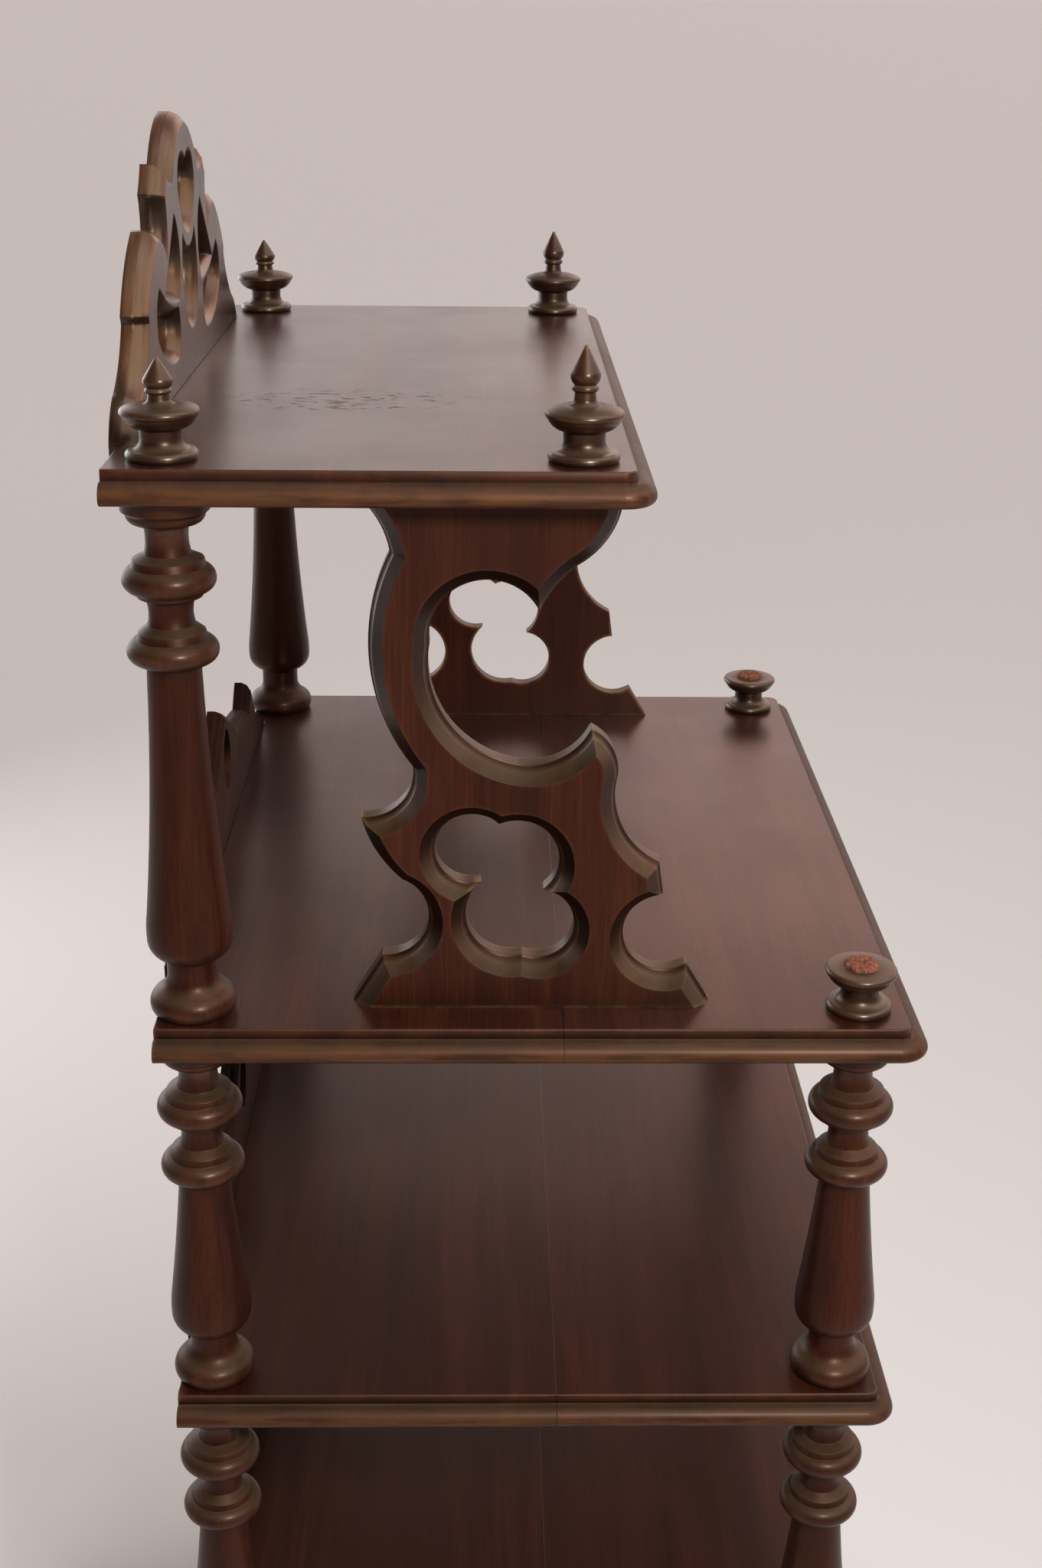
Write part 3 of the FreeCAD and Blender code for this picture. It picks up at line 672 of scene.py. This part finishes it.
# %% Torn patches
torn_radius = 0.0098
torn_rings = [(1.04, -0.0014), (1.0, 0.0), (0.82, 0.0006), (0.6, 0.0008), (0.38, 0.0007), (0.18, 0.0009)]
torn_spokes = 36
torn_wobble, torn_jump = 0.05, 0.0009
splinter_count, splinter_spread, splinter_heights = 9, (0.1, 0.85), (0.0012, 0.0032)


def torn_fan(middle, level):
    """The points and faces of a ragged disc: rings of points that wobble and jump."""
    points, faces = [], []
    for share, rise in torn_rings:
        for spoke in range(torn_spokes):
            turn = 2 * math.pi * spoke / torn_spokes
            radius = torn_radius * share * (1.0 + random_turns.uniform(-torn_wobble, torn_wobble))
            jump = random_turns.uniform(0.0, torn_jump) if share < 1.0 else 0.0
            x, y = middle.x + radius * math.cos(turn), middle.y + radius * math.sin(turn)
            points.append((x, y, level + rise + jump))
    for ring in range(len(torn_rings) - 1):
        for spoke in range(torn_spokes):
            here, beside = ring * torn_spokes + spoke, ring * torn_spokes + (spoke + 1) % torn_spokes
            faces.append((here, beside, beside + torn_spokes, here + torn_spokes))
    last = (len(torn_rings) - 1) * torn_spokes
    faces.append(tuple(range(last, last + torn_spokes)))
    return points, faces


def torn_patch(cap_name, material):
    """The ragged end of a broken spire, on the stub of its cap."""
    low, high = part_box(cap_name)
    middle = (low + high) / 2
    points, faces = torn_fan(middle, high.z)
    for _ in range(splinter_count):
        turn = random_turns.uniform(0, 2 * math.pi)
        radius = torn_radius * random_turns.uniform(*splinter_spread)
        tall = random_turns.uniform(*splinter_heights)
        x, y = middle.x + radius * math.cos(turn), middle.y + radius * math.sin(turn)
        splinter(points, faces, x, y, high.z, tall)
    mesh = bpy.data.meshes.new("torn_wood_" + cap_name)
    mesh.from_pydata(points, [], faces)
    mesh.materials.append(material)
    patch = bpy.data.objects.new("torn_wood_" + cap_name, mesh)
    bpy.context.scene.collection.objects.link(patch)
    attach(patch, "root")
    return patch


for cap_name in ("broken_cap_left", "broken_cap_right"):
    patch = torn_patch(cap_name, torn_walnut)
    print(patch.name, "faces:", len(patch.data.polygons))

# %% [markdown]
# ## Floor
# A pale floor without pattern keeps the eye on the wood. One plane could be enough, but its far rim would show
# as a line against the room, so a second ring of faces takes it out to the horizon.

# %% Floor
floor_inner, floor_outer = 8.0, 2000.0
floor_colour, floor_roughness = (0.68, 0.655, 0.645, 1.0), 0.9


def pale_floor():
    """A square floor whose rim lies so far off that it meets the horizon."""
    mesh = bpy.data.meshes.new("studio_floor")
    turns = [(-1, -1), (1, -1), (1, 1), (-1, 1)]
    corners = [(reach * x, reach * y, 0) for reach in (floor_inner, floor_outer) for x, y in turns]
    sides = [(side, side + 4, (side + 1) % 4 + 4, (side + 1) % 4) for side in range(4)]
    mesh.from_pydata(corners, [], [(0, 1, 2, 3)] + sides)
    finish = Finish("pale_floor")
    finish.shader.inputs["Base Color"].default_value = floor_colour
    finish.shader.inputs["Roughness"].default_value = floor_roughness
    mesh.materials.append(finish.material)
    floor = bpy.data.objects.new("studio_floor", mesh)
    bpy.context.scene.collection.objects.link(floor)


pale_floor()
print("floor reaches", floor_outer, "m")

# %% [markdown]
# ## Light of the room
# Many lamps could light the stand, but a glow all round is softer: pale behind it, so that its shelves mirror a
# pale wall at a low angle, warmer to the right, dark toward the camera, so that the turned posts stay deep, and
# one bright patch overhead. Only the wood and the floor see that glow; the backdrop that the camera sees is one
# plain tone in every direction.

# %% Light of the room
# Each stop is a height above the horizon, a brightness and a warmth.
far_left_levels = [(0.02, 0.445, 0), (0.18, 1.05, 0.3), (0.42, 0.55, 1.5), (0.60, 0.15, 1)]
far_right_levels = [(0.02, 0.445, 0), (0.18, 1.00, 0.3), (0.40, 1.80, 2.1), (0.60, 0.20, 1)]
near_levels = [(0.02, 0.40, 0), (0.09, 0.05, 0)]
patch_way = Vector((-0.1, -0.5, 0.86)).normalized()
patch_glow, patch_edge = (1.5, 1.45, 1.43, 1.0), (0.72, 0.86)
far_edge, right_edge = (-0.1, 0.7), (0.12, -0.22)
backdrop = (0.470, 0.417, 0.398, 1.0)
room_strength = 1.25


class Room(Finish):
    """The light from all round, written with the same short ways as a material."""

    def __init__(self, name):
        self.world = bpy.data.worlds.new(name)
        self.world.use_nodes = True
        self.tree = self.world.node_tree

    def glow(self, height, levels):
        """Brightness and warmth of the room by height above the horizon."""
        stops = []
        for place, level, warmth in levels:
            green, blue = 0.965 - 0.17 * warmth, 0.955 - 0.215 * warmth
            stops.append((place, (level, level * green, level * blue)))
        return self.ramp(height, stops)


def glowing_room():
    """Pale toward the far end of the stand, dark toward the near end, a bright patch above."""
    room = Room("pale_room")
    way = room.node("ShaderNodeTexCoord", {}).outputs["Generated"]
    x, y, z = room.split(way)[:3]
    far_share = room.step(x, *far_edge)
    right_share = room.times(far_share, room.step(y, *right_edge))
    toward_patch = room.node("ShaderNodeVectorMath", {0: way, 1: patch_way}, operation="DOT_PRODUCT")
    overhead = room.step(toward_patch.outputs["Value"], *patch_edge)
    seen = room.node("ShaderNodeLightPath", {}).outputs["Is Camera Ray"]
    colour = room.glow(z, near_levels)
    colour = room.mix(far_share, colour, room.glow(z, far_left_levels))
    colour = room.mix(right_share, colour, room.glow(z, far_right_levels))
    colour = room.mix(overhead, colour, patch_glow)
    colour = room.mix(seen, colour, backdrop)
    background = room.tree.nodes["Background"]
    room.feed(background.inputs["Color"], colour)
    background.inputs["Strength"].default_value = room_strength
    bpy.context.scene.world = room.world


glowing_room()
bpy.context.scene.view_settings.view_transform = "Standard"
print("room glows at strength", room_strength)

# %% [markdown]
# ## Lamps
# Turned wood needs a highlight to look round. The room alone gives none that is small enough, so a small lamp
# beside the camera draws them on the rings. A large weak one behind the stand keeps its back from going black.

# %% Lamps
key_place, key_target = (-1.45, back_post_y - 0.62, 1.75), (0.0, 0.0, 0.95)
key_size, key_power = 0.22, 24.0
back_place, back_target = (1.6, 1.5, 1.3), (0.0, 0.0, 0.7)
back_size, back_power = 1.4, 14.0


def soft_lamp(name, place, target, size, power):
    light = bpy.data.lights.new(name, "AREA")
    light.size = size
    light.energy = power
    lamp = bpy.data.objects.new(name, light)
    lamp.location = place
    lamp.rotation_euler = (Vector(target) - Vector(place)).to_track_quat("-Z", "Y").to_euler()
    bpy.context.scene.collection.objects.link(lamp)


soft_lamp("key_lamp", key_place, key_target, key_size, key_power)
soft_lamp("back_lamp", back_place, back_target, back_size, back_power)
print("lamps:", key_power, "and", back_power, "W")
